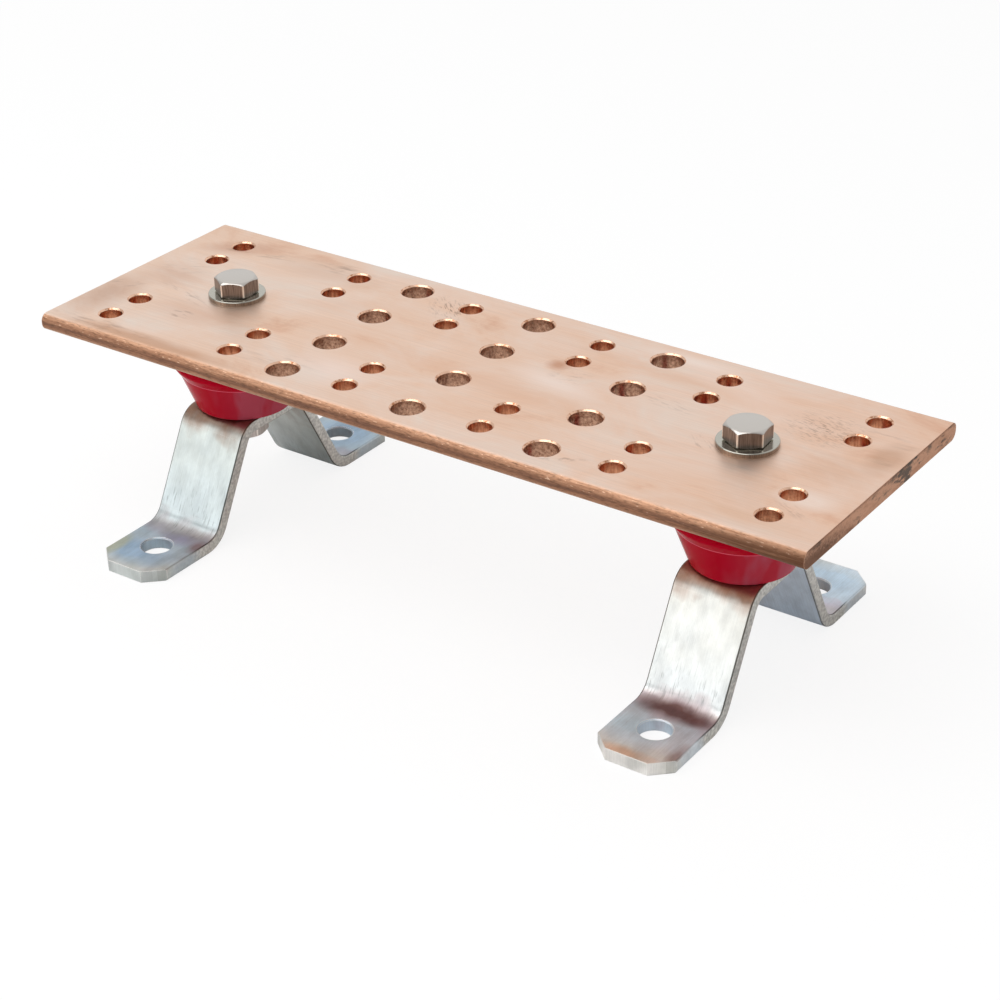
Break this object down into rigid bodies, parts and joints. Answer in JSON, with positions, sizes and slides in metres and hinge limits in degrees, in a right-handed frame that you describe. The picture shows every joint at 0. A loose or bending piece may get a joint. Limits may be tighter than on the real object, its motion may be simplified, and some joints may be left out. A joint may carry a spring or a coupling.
{
  "type": "rack grounding busbar",
  "caption": "Flat copper ground bar punched for two-hole lugs, carried on red drum insulators, each screwed to a hat-shaped steel strap bracket with fixing holes in its feet.",
  "frame": {"origin": "on the plane that the four feet stand on, midway between them", "axes": "+X along the bar, +Y across the bar, +Z from the feet up through the bar"},
  "size_m": [0.3048, 0.1396, 0.0904],
  "materials": {
    "copper": "satin",
    "red_polyester": "gloss",
    "insert_brass": "machined",
    "zinc_plated_steel": "zinc plated",
    "stainless_steel": "satin"
  },
  "bodies": {
    "root": {"busbar": "copper", "insulator_left": "red_polyester", "upper_insert_left": "insert_brass", "lower_insert_left": "insert_brass", "bracket_left": "zinc_plated_steel", "top_screw_left": "stainless_steel", "top_washer_left": "stainless_steel", "bottom_screw_left": "stainless_steel", "bottom_lock_washer_left": "stainless_steel", "insulator_right": "red_polyester", "upper_insert_right": "insert_brass", "lower_insert_right": "insert_brass", "bracket_right": "zinc_plated_steel", "top_screw_right": "stainless_steel", "top_washer_right": "stainless_steel", "bottom_screw_right": "stainless_steel", "bottom_lock_washer_right": "stainless_steel"}
  },
  "joints": []
}
